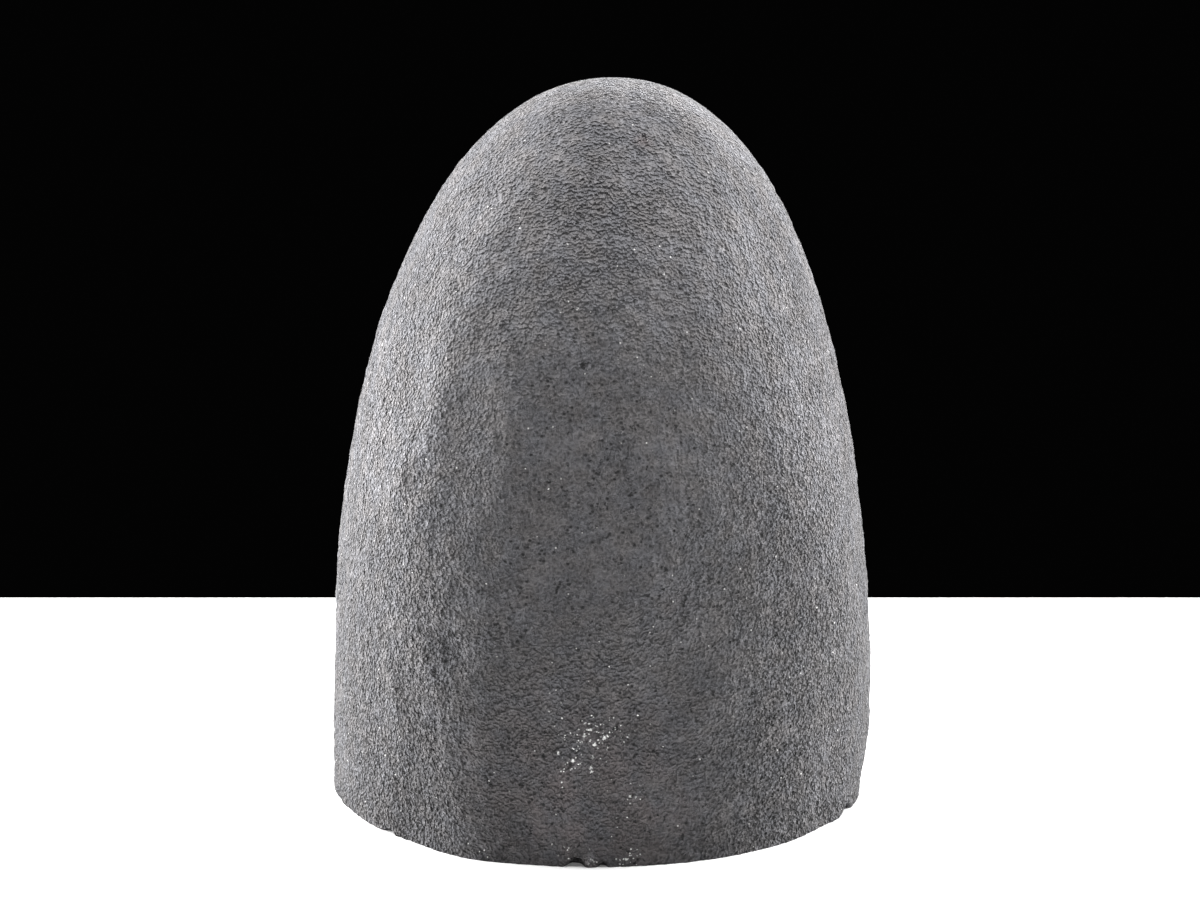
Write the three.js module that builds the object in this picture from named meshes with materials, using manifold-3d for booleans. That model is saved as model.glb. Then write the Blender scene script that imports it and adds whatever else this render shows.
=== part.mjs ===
// Amethyst geode dome: half a geode that stands on a sawn base. Its back is a tall dome under a
// gritty cement coat. Its front is sawn flat and opens on a hollow lined with amethyst crystals.
// Millimetres. +Z is up, +Y points out of the mouth of the hollow, and the sawn base is at Z = 0.
import * as THREE from "three";
import { ConvexGeometry } from "three/addons/geometries/ConvexGeometry.js";
import { mergeVertices } from "three/addons/utils/BufferGeometryUtils.js";
import Module from "manifold-3d";

const wasm = await Module();
wasm.setup();

// ---- Driving dimensions ----
const HEIGHT = 190; // sawn base to crown
const WIDTH = 146; // across the sawn face
const DEPTH = 75; // sawn face to the back of the dome
const LEAN = 3.2; // how far the crown sits to the right of the middle of the base
const HOLLOW_MIDDLE = 74; // height of the middle of the hollow over the base
const HOLLOW_WIDTH = 113; // mouth of the hollow, side to side
const HOLLOW_RISE = 98; // middle of the hollow to its roof
const HOLLOW_DROP = 55; // middle of the hollow to its floor
const HOLLOW_DEPTH = 56; // sawn face to the back wall of the hollow
const CRUST = 5; // quartz under the crystal points
const GAP = 0.3; // clearance between the crust and the stone round it
const CRYSTALS = 220; // crystal points on the crust
const SLIVER = 0.06; // edges of the crust that are shorter than this are closed up

// Outline of the dome: half width falls as (1 - t^rise)^round, t being the share of the height.
const FACE_RISE = 2.46;
const FACE_ROUND = 0.469;
const BACK_RISE = 2.3;
const BACK_ROUND = 0.5;

// Squareness of the hollow: 1 is an ellipse, and less is fuller in the corners.
const HOLLOW_ROUND = 0.9;

// How fine the faceted surfaces are.
const DOME_COLUMNS = 88;
const DOME_ROWS = 26;
const HOLLOW_COLUMNS = 40;
const HOLLOW_ROWS = 16;

// Broad lumps (rise over 0) and dents (rise under 0) of the back. turn is the angle in degrees
// round the back from its right edge, up the height over the base, wide and tall the half sizes.
const LUMPS = [
  { turn: 130, up: 101, wide: 13, tall: 32, rise: 2.0 },
  { turn: 120, up: 110, wide: 8, tall: 14, rise: -1.0 },
  { turn: 137, up: 78, wide: 10, tall: 9, rise: -0.5 },
  { turn: 118, up: 114, wide: 20, tall: 58, rise: 2.6 },
  { turn: 30, up: 130, wide: 22, tall: 28, rise: -1.8 },
  { turn: 69, up: 62, wide: 16, tall: 16, rise: -1.2 },
  { turn: 134, up: 63, wide: 27, tall: 32, rise: 2.1 },
  { turn: 126, up: 152, wide: 13, tall: 25, rise: 1.1 },
  { turn: 63, up: 134, wide: 14, tall: 20, rise: 0.9 },
  { turn: 36, up: 73, wide: 19, tall: 37, rise: 2.6 },
  { turn: 93, up: 138, wide: 21, tall: 16, rise: 1.1 },
  { turn: 80, up: 27, wide: 25, tall: 31, rise: -2.0 },
  { turn: 121, up: 47, wide: 15, tall: 32, rise: 1.3 },
  { turn: 137, up: 93, wide: 9, tall: 13, rise: 1.2 },
  { turn: 0, up: 0, wide: 24, tall: 9, rise: -3.6 },
];

// Chips out of the lower edge of the back, turn as for the lumps.
const CHIPS = [
  { turn: 95.2, wide: 5.5, tall: 2.8, deep: 3.5 },
  { turn: 89.6, wide: 2.6, tall: 1.3, deep: 2 },
  { turn: 27, wide: 8, tall: 2.4, deep: 2.2 },
  { turn: 139, wide: 5, tall: 1.2, deep: 1.6 },
];

const GOLDEN_ANGLE = Math.PI * (3 - Math.sqrt(5));
const degrees = THREE.MathUtils.degToRad;

// A fixed number from 0 to 1 for crystal i and question k.
function chance(i, k) {
  const s = Math.sin(i * 12.9898 + k * 78.233) * 43758.5453;
  return s - Math.floor(s);
}

// ---- Solids ----

// A closed geometry as a manifold solid, with each of its points moved by shape.
function solidOf(geometry, shape = (point) => point) {
  const bare = geometry.clone();
  bare.deleteAttribute("normal");
  bare.deleteAttribute("uv");
  const merged = mergeVertices(bare, 1e-5);
  const spots = merged.getAttribute("position");
  for (let i = 0; i < spots.count; i++) {
    const moved = shape(new THREE.Vector3().fromBufferAttribute(spots, i));
    spots.setXYZ(i, moved.x, moved.y, moved.z);
  }
  const corners = Array.from(merged.index.array);
  const triangles = [];
  for (let i = 0; i < corners.length; i += 3) {
    const [a, b, c] = corners.slice(i, i + 3);
    if (a !== b && b !== c && c !== a) triangles.push(a, b, c);
  }
  const triVerts = new Uint32Array(triangles);
  return new wasm.Manifold(new wasm.Mesh({ numProp: 3, vertProperties: spots.array, triVerts }));
}

// A manifold solid as a flat shaded geometry.
function geometryOf(solid) {
  const mesh = solid.getMesh();
  const geometry = new THREE.BufferGeometry();
  const points = new THREE.BufferAttribute(new Float32Array(mesh.vertProperties), 3);
  geometry.setAttribute("position", points);
  geometry.setIndex(new THREE.BufferAttribute(new Uint32Array(mesh.triVerts), 1));
  const flat = geometry.toNonIndexed();
  flat.computeVertexNormals();
  return flat;
}

// ---- The dome ----

// How far the back stands proud of its smooth form, at an angle round it and a height share.
function relief(turn, t) {
  const up = t * HEIGHT;
  let rise = 0.4 * Math.sin(3 * turn + 4 * t + 1.3) * Math.sin(6 * t + 0.7);
  rise += 0.3 * Math.sin(7 * turn - 9 * t) * Math.sin(11 * t + 2.1);
  for (const lump of LUMPS) {
    const aside = ((turn - degrees(lump.turn)) * WIDTH) / 2;
    const away = (aside / lump.wide) ** 2 + ((up - lump.up) / lump.tall) ** 2;
    rise += lump.rise * Math.exp(-away);
  }
  return rise * (1 - t ** 8);
}

// A point of the dome: turn is 0 at the right edge of the sawn face, a quarter turn at the middle
// of the back and a half turn at the left edge, and t runs from 0 at the base to 1 at the crown.
function domePoint(turn, t) {
  const half = (WIDTH / 2) * (1 - t ** FACE_RISE) ** FACE_ROUND;
  const bulge = DEPTH * (1 - t ** BACK_RISE) ** BACK_ROUND;
  const proud = relief(turn, t);
  return new THREE.Vector3(
    (half + proud) * Math.cos(turn) + LEAN * t ** 4,
    -(bulge + proud) * Math.sin(turn),
    HEIGHT * t,
  );
}

// A whole dome, front and back: a lathed drum one unit high and one in radius, drawn to shape.
function wholeDome() {
  const profile = [new THREE.Vector2(0, 0)];
  for (let row = 0; row < DOME_ROWS; row++) {
    profile.push(new THREE.Vector2(1, Math.sin((row / DOME_ROWS) * (Math.PI / 2))));
  }
  profile.push(new THREE.Vector2(0, 1));
  const drum = new THREE.LatheGeometry(profile, DOME_COLUMNS).rotateX(Math.PI / 2);
  return solidOf(drum, ({ x, y, z }) => {
    if (z > 0) return domePoint(Math.atan2(-y, x), z);
    return domePoint(Math.atan2(-y, x), 0).multiplyScalar(Math.hypot(x, y));
  });
}

// Everything in front of the sawn face, as a block to cut away.
function frontBlock() {
  const block = new THREE.BoxGeometry(2 * WIDTH, 2 * DEPTH, 2 * HEIGHT);
  return solidOf(block.translate(0, DEPTH, HEIGHT / 2));
}

// A chip as a solid to cut away: a rough wedge that reaches in from the lower edge of the back.
function chip({ turn, wide, tall, deep }) {
  const along = (share) => wide * share;
  const points = [
    [along(-0.5), 2, -1],
    [along(0.5), 2, -1],
    [along(-0.15), 2, tall],
    [along(0.2), 2, tall * 0.8],
    [along(-0.35), -deep, -1],
    [along(0.25), -deep, -1],
    [along(0), -deep * 0.5, tall * 0.6],
  ].map(([x, y, z]) => new THREE.Vector3(x, y, z));
  const edge = domePoint(degrees(turn), 0);
  const outward = new THREE.Vector3(edge.x / WIDTH ** 2, edge.y / (2 * DEPTH) ** 2, 0).normalize();
  const up = new THREE.Vector3(0, 0, 1);
  const sideways = new THREE.Vector3().crossVectors(outward, up);
  const place = new THREE.Matrix4().makeBasis(sideways, outward, up).setPosition(edge);
  return solidOf(new ConvexGeometry(points).applyMatrix4(place));
}

// ---- The hollow ----

// Distance from the middle of the hollow to its wall, in the plane of the sawn face.
function mouthRadius(angle) {
  const upright = Math.sin(angle) > 0 ? HOLLOW_RISE : HOLLOW_DROP;
  const part = Math.hypot(Math.cos(angle) / (HOLLOW_WIDTH / 2), Math.sin(angle) / upright);
  const lobes = 0.022 * Math.sin(3 * angle + 0.8) + 0.016 * Math.sin(5 * angle + 2.4);
  return (1 + lobes) / part;
}

// A point of the hollow's wall, drawn in by inset. angle runs round the mouth, and dip from 0 at
// the sawn face to a quarter turn at the back. Under 0 it lies in front of the sawn face.
function hollowPoint(angle, dip, inset) {
  const across = Math.abs(Math.cos(dip)) ** HOLLOW_ROUND;
  const inwards = Math.sign(dip) * Math.abs(Math.sin(dip)) ** HOLLOW_ROUND;
  const lump = 1.5 * Math.sin(2 * dip) * Math.sin(4 * angle + 3 * dip);
  const radius = (mouthRadius(angle) - inset) * across + lump;
  return new THREE.Vector3(
    LEAN / 4 + radius * Math.cos(angle),
    -(HOLLOW_DEPTH - inset) * inwards,
    HOLLOW_MIDDLE + radius * Math.sin(angle),
  );
}

// The hollow as a solid egg, half of it in front of the sawn face: a unit ball drawn to shape.
function hollowSolid(inset) {
  const ball = new THREE.SphereGeometry(1, HOLLOW_COLUMNS, HOLLOW_ROWS);
  return solidOf(ball, ({ x, y, z }) => {
    const dip = Math.atan2(-y, Math.hypot(x, z));
    return hollowPoint(Math.atan2(z, x), dip, inset);
  });
}

// ---- The crystals ----

// A quartz point along +Z with its shoulder near Z = 0: a six sided prism under six faces, three
// of them larger. The root is how far the prism goes down.
function quartzPoint(half, root, i) {
  const corner = half / Math.cos(Math.PI / 6);
  const points = [];
  for (let k = 0; k < 6; k++) {
    const x = corner * Math.cos((k * Math.PI) / 3);
    const y = corner * Math.sin((k * Math.PI) / 3);
    const shoulder = half * (0.2 * (chance(i, 10 + k) - 0.5) + (k % 2 ? 0.14 : -0.14));
    points.push(new THREE.Vector3(x, y, shoulder), new THREE.Vector3(x, y, -root));
  }
  const aside = 0.2 * half;
  const peak = 1.27 * half;
  points.push(new THREE.Vector3(aside * (chance(i, 7) - 0.5), aside * (chance(i, 8) - 0.5), peak));
  return new ConvexGeometry(points);
}

// Crystal i, standing on the crust: places run in a spiral from the deepest point to the mouth.
function crystal(i) {
  const share = (i + 0.5) / CRYSTALS;
  const dip = Math.asin(1 - 1.03 * share) + 0.05 * (chance(i, 1) - 0.5);
  const angle = i * GOLDEN_ANGLE + 0.08 * (chance(i, 2) - 0.5);
  const step = 0.02;
  const round = hollowPoint(angle + step, dip, CRUST).sub(hollowPoint(angle - step, dip, CRUST));
  const down = hollowPoint(angle, dip + step, CRUST).sub(hollowPoint(angle, dip - step, CRUST));
  const axis = new THREE.Vector3().crossVectors(down, round);
  const patch = axis.length() / (2 * step) ** 2 / Math.max(0.05, Math.cos(dip));
  const spacing = Math.sqrt((patch * 2 * Math.PI) / CRYSTALS);
  axis.normalize();
  const tilt = new THREE.Vector3(chance(i, 3) - 0.5, chance(i, 4) - 0.5, chance(i, 5) - 0.5);
  axis.addScaledVector(tilt, 0.5).normalize();
  const half = spacing * (0.52 + 0.42 * chance(i, 6) ** 1.5);
  const stand = half * 0.35 * (chance(i, 9) - 0.4);
  const place = new THREE.Matrix4().makeRotationZ(2 * Math.PI * chance(i, 20));
  const turn = new THREE.Quaternion().setFromUnitVectors(new THREE.Vector3(0, 0, 1), axis);
  place.premultiply(new THREE.Matrix4().makeRotationFromQuaternion(turn));
  place.setPosition(hollowPoint(angle, dip, CRUST).addScaledVector(axis, stand));
  return solidOf(quartzPoint(half, stand + CRUST * 0.7, i).applyMatrix4(place));
}

// ---- The two pieces ----

// The stone: the back half of the dome, with its hollow opened and its lower edge chipped.
function stoneSolid() {
  const cuts = [frontBlock(), hollowSolid(0), ...CHIPS.map(chip)];
  return wholeDome().subtract(wasm.Manifold.union(cuts));
}

// The crust: a shell of quartz with the crystal points grown on it, sawn off with the stone.
function crustSolid() {
  const shell = hollowSolid(GAP).subtract(hollowSolid(CRUST));
  const points = Array.from({ length: CRYSTALS }, (_, i) => crystal(i));
  const grown = wasm.Manifold.union([shell, ...points]);
  const inside = grown.intersect(hollowSolid(GAP)).subtract(frontBlock());
  const bodies = inside.asOriginal().simplify(SLIVER).decompose();
  return bodies.reduce((most, body) => (body.volume() > most.volume() ? body : most));
}

const cementMaterial = new THREE.MeshStandardMaterial({
  color: new THREE.Color(0.1, 0.1, 0.103),
  roughness: 0.95,
  metalness: 0,
});
const amethystMaterial = new THREE.MeshStandardMaterial({
  color: new THREE.Color(0.13, 0.03, 0.34),
  roughness: 0.12,
  metalness: 0,
});

const stone = new THREE.Mesh(geometryOf(stoneSolid()), cementMaterial);
stone.name = "geode_stone";
const crust = new THREE.Mesh(geometryOf(crustSolid()), amethystMaterial);
crust.name = "amethyst_crust";

const geode = new THREE.Group();
geode.name = "amethyst_geode_dome";
geode.add(stone, crust);

// The frame's origin is the middle of the footprint, on the surface that the dome stands on.
const box = new THREE.Box3().setFromObject(geode);
geode.position.set(-(box.min.x + box.max.x) / 2, -(box.min.y + box.max.y) / 2, -box.min.z);

export default geode;
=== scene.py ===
"""Amethyst geode dome: half a geode on a sawn base. Its back wears a gritty cement coat, its front
is sawn and rubbed smooth, and its hollow is lined with amethyst points.

Lengths are metres, +Z is up, and +Y points out of the mouth of the hollow."""

import itertools
import math

import bmesh
import bpy
import numpy as np
from bpy.props import FloatProperty, FloatVectorProperty, IntProperty, PointerProperty
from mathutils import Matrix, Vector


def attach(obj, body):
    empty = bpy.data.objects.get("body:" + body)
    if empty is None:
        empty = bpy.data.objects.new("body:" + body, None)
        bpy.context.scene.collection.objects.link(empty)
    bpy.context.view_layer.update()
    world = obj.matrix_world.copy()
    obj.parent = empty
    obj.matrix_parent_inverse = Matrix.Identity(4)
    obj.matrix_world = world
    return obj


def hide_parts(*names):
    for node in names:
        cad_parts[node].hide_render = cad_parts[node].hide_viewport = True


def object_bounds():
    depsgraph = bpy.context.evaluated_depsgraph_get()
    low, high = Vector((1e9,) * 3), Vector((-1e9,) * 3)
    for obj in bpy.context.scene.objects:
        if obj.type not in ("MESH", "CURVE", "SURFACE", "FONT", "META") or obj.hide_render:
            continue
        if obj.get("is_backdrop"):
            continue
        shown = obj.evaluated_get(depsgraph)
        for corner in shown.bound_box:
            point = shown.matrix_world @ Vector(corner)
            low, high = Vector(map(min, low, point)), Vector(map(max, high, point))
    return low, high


bl_info = {
    "name": "Amethyst geode dome",
    "version": (1, 0, 0),
    "blender": (4, 5, 0),
    "location": "View3D > Sidebar > Geode",
    "description": "Dresses the stone and the crystals of an amethyst geode dome",
    "category": "Add Mesh",
}

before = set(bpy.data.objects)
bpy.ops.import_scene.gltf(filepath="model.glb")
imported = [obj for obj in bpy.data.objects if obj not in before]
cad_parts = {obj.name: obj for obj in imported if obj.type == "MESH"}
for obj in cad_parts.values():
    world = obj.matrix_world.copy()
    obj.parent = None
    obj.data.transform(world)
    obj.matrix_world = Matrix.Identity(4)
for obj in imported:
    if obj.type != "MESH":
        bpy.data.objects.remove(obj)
CAD_LOW, CAD_HIGH = (tuple(corner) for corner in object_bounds())

MM = 0.001
SLAB_Y = CAD_HIGH[1]  # the plane of the sawn face
ASIDE = 0.00026  # how far left of the frame's middle the axis of the dome stands
GOLDEN_ANGLE = math.pi * (3 - math.sqrt(5))

# Outline of the dome: half width falls as (1 - t^rise)^round, t being the share of the height.
FACE_RISE, FACE_ROUND = 2.46, 0.469
BACK_RISE, BACK_ROUND = 2.3, 0.5

# Broad lumps and dents of the back: angle round it in degrees from its right edge, height over the
# base, half width, half height and rise, the last four in millimetres.
LUMPS = (
    (130, 101, 13, 32, 2.0),
    (120, 110, 8, 14, -1.0),
    (137, 78, 10, 9, -0.5),
    (118, 114, 20, 58, 2.6),
    (30, 130, 22, 28, -1.8),
    (69, 62, 16, 16, -1.2),
    (134, 63, 27, 32, 2.1),
    (126, 152, 13, 25, 1.1),
    (63, 134, 14, 20, 0.9),
    (36, 73, 19, 37, 2.6),
    (93, 138, 21, 16, 1.1),
    (80, 27, 25, 31, -2.0),
    (121, 47, 15, 32, 1.3),
    (137, 93, 9, 13, 1.2),
    (0, 0, 24, 9, -3.6),
)

# Smaller ridges and dents, of the finished coat only: angle, height over the base, width, length,
# slant, rise, and whether the crest is sharp.
RIDGES = (
    (93.5, 96.7, 10.5, 25.7, 0, -1.02, False),
    (98.5, 85.1, 6.3, 15.5, -15, -1.26, False),
    (37, 5.6, 6.1, 16.4, 10, -0.85, True),
    (50, 59.6, 9.9, 26.1, 30, -1.01, True),
    (101.9, 24.2, 9.4, 26.7, 12, -1.19, False),
    (85.1, 61.4, 9.7, 26, 31, 1.02, False),
    (33.6, 151.3, 9.9, 26.2, 48, -0.83, True),
    (24, 42.7, 10.4, 26.2, -13, 0.85, False),
    (135, 140.5, 5.7, 16.5, 43, 1.27, True),
    (120.8, 55.6, 4.3, 7.9, -51, -1.27, False),
    (102.4, 170.3, 10.1, 25.9, -57, 1.23, True),
    (128.2, 115.5, 9.6, 26.6, 15, 1.27, True),
    (137.2, 115.1, 7, 7.6, 0, -1.26, False),
    (110.6, 97, 10.2, 26.1, 3, 1.06, True),
    (130.1, 6.4, 11, 11.4, 0, -1.2, False),
    (119.7, 24.3, 9.8, 26.4, -13, 1.24, True),
    (67.6, 39.1, 6.4, 16.7, 48, 1.02, False),
    (109.2, 129.4, 6.3, 16.4, 45, 0.51, False),
    (25.3, 132.3, 10, 26.4, -52, -0.82, True),
    (130.2, 93.9, 4.1, 9.7, 34, -0.61, False),
    (93.6, 61.3, 10.3, 26, 54, 0.64, False),
    (134, 36.7, 4, 9.7, -14, 0.99, False),
)

# Chips out of the lower edge of the back: angle, width, height and depth.
CHIPS = (
    (95.2, 6.2, 3.0, 3.4),
    (89.6, 3.0, 1.5, 2.0),
    (27, 8.5, 2.6, 2.2),
    (139, 5.5, 1.3, 1.5),
)

# Small pits of the coat: angle, height over the base, half width, half height and depth.
PITS = (
    (73.6, 177.4, 1.5, 0.9, 0.9),
    (88.5, 103.5, 1.3, 0.7, 0.7),
    (86.0, 105.5, 0.7, 1.5, 0.7),
    (92.5, 96.0, 1.4, 0.8, 0.7),
    (84.9, 99.0, 0.7, 1.2, 0.6),
    (95.0, 91.5, 1.0, 0.8, 0.5),
)

# Spots of the coat, each an angle, a height over the base, a reach and a strength: places with
# more holes, paler ones (the last beside the chip in the middle), brown stains and white flakes.
PITTED = (
    (87, 98, 24, 0.055),
    (121, 55, 14, 0.13),
    (124, 36, 12, 0.1),
    (70, 67, 17, 0.1),
)
PALE = (
    (148, 103, 34, 0.6),
    (30, 98, 32, 0.4),
    (45, 150, 25, 0.25),
    (92.2, 1.9, 2.4, 3.0),
)
STAINS = (
    (96, 22, 34, 0.75),
    (86, 12, 26, 0.55),
    (73.4, 67.0, 6, 0.9),
    (74.4, 177.0, 3.5, 1.0),
)
FLAKES = (
    (90.6, 35.5, 5.0, 0.5),
    (88.0, 35.0, 6.0, 0.3),
    (92.5, 32.5, 9.0, 0.3),
    (95.5, 25.5, 9.0, 0.34),
    (84.5, 34.5, 7.0, 0.2),
    (98.5, 33.0, 12.0, 0.16),
    (84.5, 16.5, 9.0, 0.2),
    (91.8, 1.6, 2.2, 0.9),
    (85.3, 2.4, 3.2, 0.75),
    (82.6, 2.6, 2.8, 0.7),
    (97.6, 5.0, 4.0, 0.4),
    (113.5, 1.6, 3.0, 0.5),
)

# How finely the pieces are cut.
COAT_COLUMNS = 360
COAT_ROWS = 208
FACE_RINGS = 13
WALL_ROWS = 6
EGG_COLUMNS = 112
EGG_ROWS = 48
SHARP_EDGE = math.radians(60)

# Fixed colours.
# Painted shade put in the pits.
PAINTED_PIT_SHADE = (0.012, 0.012, 0.013)
FLAKE_WHITE = (0.8, 0.8, 0.79)
# Painted highlight: the light grey of the painted glints.
PAINTED_GLINT_GREY = (0.62, 0.61, 0.6)
SAWN_CEMENT = (0.06, 0.06, 0.062)
SEED_GREEN = (0.03, 0.055, 0.042)
ROOM_BLACK = (0.001, 0.001, 0.001, 1)

# Sawn face: the widths that the bands and the cement are counted in, and the bands of agate as
# share and colour, from the mouth outwards.
BANDS_WIDTH = 9 * MM
CEMENT_WIDTH = 4 * MM
AGATE = (
    (0.0, (0.16, 0.15, 0.17)),
    (0.14, (0.15, 0.15, 0.163)),
    (0.19, (0.05, 0.053, 0.066)),
    (0.32, (0.10, 0.103, 0.118)),
    (0.37, (0.036, 0.039, 0.05)),
    (0.50, (0.08, 0.083, 0.094)),
    (0.57, (0.125, 0.122, 0.112)),
    (0.65, (0.034, 0.037, 0.04)),
    (0.74, (0.016, 0.034, 0.025)),
    (0.82, (0.008, 0.012, 0.01)),
)

# Scattered specks: cells to the metre, where a speck begins and ends to fade, and the random
# numbers between which a cell comes to have one.
# Painted glints: light specks that stand in for the sparkle of quartz grains.
PAINTED_GLINTS = (390, (0.06, 0.1), (0.66, 0.68))
SEEDS = (260, (0.1, 0.2), (0.56, 0.6))

# How high the bumps of the materials are.
COAT_BUMP = 2.6 * MM
FACE_BUMP = 0.04 * MM
SAW_BUMP = 0.1 * MM
CRYSTAL_BUMP = 0.03 * MM

# Crystals: cells to the metre where they are sawn off, refraction, how much light goes through,
# the height that their violet is counted in, how far out of the hollow they stand (1 is its mouth),
# slope of their tips, height of their roots over the wall, how far the small ones start above the
# large ones, and the number of the first small one.
SAWN_CELLS = 310
QUARTZ_IOR = 1.544
CLEARNESS = 0.7
VIOLET_HEIGHT = 16 * MM
SEAT_REACH = 1.03
TIP_SLOPE = 1.27
ROOT_HEIGHT = 1.5 * MM
SMALL_LIFT = 2.2 * MM
SMALL_FIRST = 1000

# Soft lights: name, azimuth (0 faces the back of the stone), elevation, distance, size and power.
LIGHTS = (
    ("light_left", -122, 11, 0.8, (0.5, 0.6), 20.8),
    ("light_left_low", -100, 10, 0.8, (0.12, 0.15), 8.6),
    ("light_right", 119, 11, 0.8, (0.5, 0.6), 15.9),
    ("light_right_low", 101, 18, 0.8, (0.12, 0.15), 4.9),
    ("light_top", 0, 85, 0.4, (0.3, 0.3), 3.2),
    ("light_mouth", 168, 30, 0.7, (0.16, 0.16), 7.0),
)

# The table's half width and length, and the camera's aim: how far to the right of the middle and
# behind the sawn face.
TABLE_REACH = 1.5
TABLE_LENGTH = 1.8
AIM_ASIDE = -0.00044
AIM_BEHIND = 0.02

# The stone's materials, in the order of its slots.
COAT, FACE, WALL, FOOT = range(4)


# ------------------------ sizes and colours


def length(name, description, default):
    """A length that a user can change."""
    return FloatProperty(name=name, description=description, default=default, unit="LENGTH")


def swatch(name, description, default):
    """A colour that a user can change."""
    return FloatVectorProperty(
        name=name, description=description, default=default, subtype="COLOR"
    )


class GeodeForm(bpy.types.PropertyGroup):
    """Sizes of the stone and its hollow"""

    height: length("Height", "From the sawn base to the crown", CAD_HIGH[2] - CAD_LOW[2])
    width: length("Width", "Across the sawn face", 0.146)
    depth: length("Depth", "From the sawn face to the back", 0.075)
    lean: length("Lean", "How far the crown sits to the right of the middle", 0.0032)
    hollow_middle: length("Hollow middle", "Height of the middle of the hollow", 0.074)
    hollow_width: length("Hollow width", "Width of the mouth", 0.113)
    hollow_rise: length("Hollow rise", "From the middle of the hollow to its roof", 0.098)
    hollow_drop: length("Hollow drop", "From the middle of the hollow to its floor", 0.055)
    hollow_depth: length("Hollow depth", "From the sawn face to the back wall", 0.056)
    hollow_round: FloatProperty(
        name="Hollow roundness",
        description="1 is an ellipse, and less is fuller in the corners",
        default=0.9,
    )


class GeodeCoat(bpy.types.PropertyGroup):
    """Looks of the cement coat"""

    grit: length("Grit", "Height of the coarse grit", 0.00032)
    swell: length("Swell", "Height of the soft unevenness", 0.00042)
    grain: length("Grain", "Width of a grain of sand", 0.0009)
    grey: swatch("Cement", "Colour of the cement", (0.118, 0.1155, 0.1205))
    rust: swatch("Rust", "Colour of the brown stains", (0.121, 0.104, 0.105))


class GeodeCrystals(bpy.types.PropertyGroup):
    """Looks of the amethyst"""

    crust: length("Crust", "Quartz under the points", 0.005)
    main_points: IntProperty(name="Main points", description="Large crystal points", default=220)
    small_points: IntProperty(name="Small points", description="Small crystal points", default=620)
    tip: swatch("Tip", "Colour of the tips", (0.15, 0.04, 0.29))
    root: swatch("Root", "Colour of the roots", (0.30, 0.27, 0.33))
    violet: swatch("Violet", "What the crystal lets through", (0.80, 0.45, 0.88))
    density: FloatProperty(
        name="Density", description="How fast the crystal takes up light", default=48.0
    )


class GeodeStage(bpy.types.PropertyGroup):
    """The table and the camera"""

    table_edge: length("Table edge", "How far behind the stone the table ends", 0.1745)
    camera_distance: length("Camera distance", "From the camera to the stone", 0.8)
    camera_height: FloatProperty(
        name="Camera angle",
        description="How far the camera looks down",
        default=math.radians(13),
        unit="ROTATION",
    )
    lens: FloatProperty(name="Lens", description="Focal length in millimetres", default=91.9)


# ------------------------ numbers that stay the same


def chance(i, k):
    """A fixed number from 0 to 1 for thing i and question k: the fraction of a large sine."""
    s = np.sin(i * 12.9898 + k * 78.233) * 43758.5453
    return s - np.floor(s)


def chances(i, first, count):
    """Such numbers for thing i and count questions, the first of them numbered first."""
    return np.stack([chance(i, first + k) for k in range(count)], -1)


def lattice_hash(cell, seed):
    """A fixed number from -1 to 1 for each whole-numbered cell, by mixing its three numbers."""
    h = cell.astype(np.int64).astype(np.uint64)
    mixed = h[..., 0] * np.uint64(0x9E3779B185EBCA87)
    mixed ^= h[..., 1] * np.uint64(0xC2B2AE3D27D4EB4F) + np.uint64(seed * 0x165667B1)
    mixed ^= h[..., 2] * np.uint64(0x27D4EB2F165667C5)
    mixed ^= mixed >> np.uint64(29)
    mixed *= np.uint64(0xBF58476D1CE4E5B9)
    mixed ^= mixed >> np.uint64(32)
    return (mixed & np.uint64(0xFFFFFF)).astype(float) / 0x7FFFFF - 1


def noise(points, size, seed):
    """Smooth noise from about -1 to 1 whose lumps are size wide: each corner of a cubic lattice
    holds a random slope, and a point blends the eight slopes round it by a smooth step."""
    place = points / size
    low = np.floor(place)
    part = place - low
    ease = part**3 * (part * (part * 6 - 15) + 10)
    total = np.zeros(points.shape[:-1])
    for corner in itertools.product((0, 1), repeat=3):
        corner = np.array(corner)
        slopes = np.stack([lattice_hash(low + corner, seed + 7 * axis) for axis in range(3)], -1)
        value = np.sum(slopes * (part - corner), -1)
        total += value * np.prod(np.where(corner, ease, 1 - ease), -1)
    return total * 1.4


# ------------------------ shapes


def round_from(angle, turn, form):
    """How far round the back turn is from an angle in degrees: half the width times the turn."""
    return (turn - math.radians(angle)) * form.width / 2


def relief(turn, share, form):
    """How far the back stands proud of its smooth form: two slow waves, bell-shaped lumps, and
    smaller ridges that are bells or cones, all fading out at the crown."""
    up = share * form.height
    rise = 0.4 * np.sin(3 * turn + 4 * share + 1.3) * np.sin(6 * share + 0.7)
    rise = rise + 0.3 * np.sin(7 * turn - 9 * share) * np.sin(11 * share + 2.1)
    for angle, at, wide, tall, lump in LUMPS:
        aside = round_from(angle, turn, form)
        away = (aside / (wide * MM)) ** 2 + ((up - at * MM) / (tall * MM)) ** 2
        rise = rise + lump * np.exp(-away)
    for angle, at, wide, tall, slant, ridge, sharp in RIDGES:
        aside = round_from(angle, turn, form)
        lean = math.radians(slant)
        across = aside * math.cos(lean) + (up - at * MM) * math.sin(lean)
        along = (up - at * MM) * math.cos(lean) - aside * math.sin(lean)
        away = (across / (wide * MM)) ** 2 + (along / (tall * MM)) ** 2
        rise = rise + ridge * np.exp(0.14 - np.sqrt(away + 0.02) if sharp else -away)
    return rise * (1 - share**8) * MM


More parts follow.
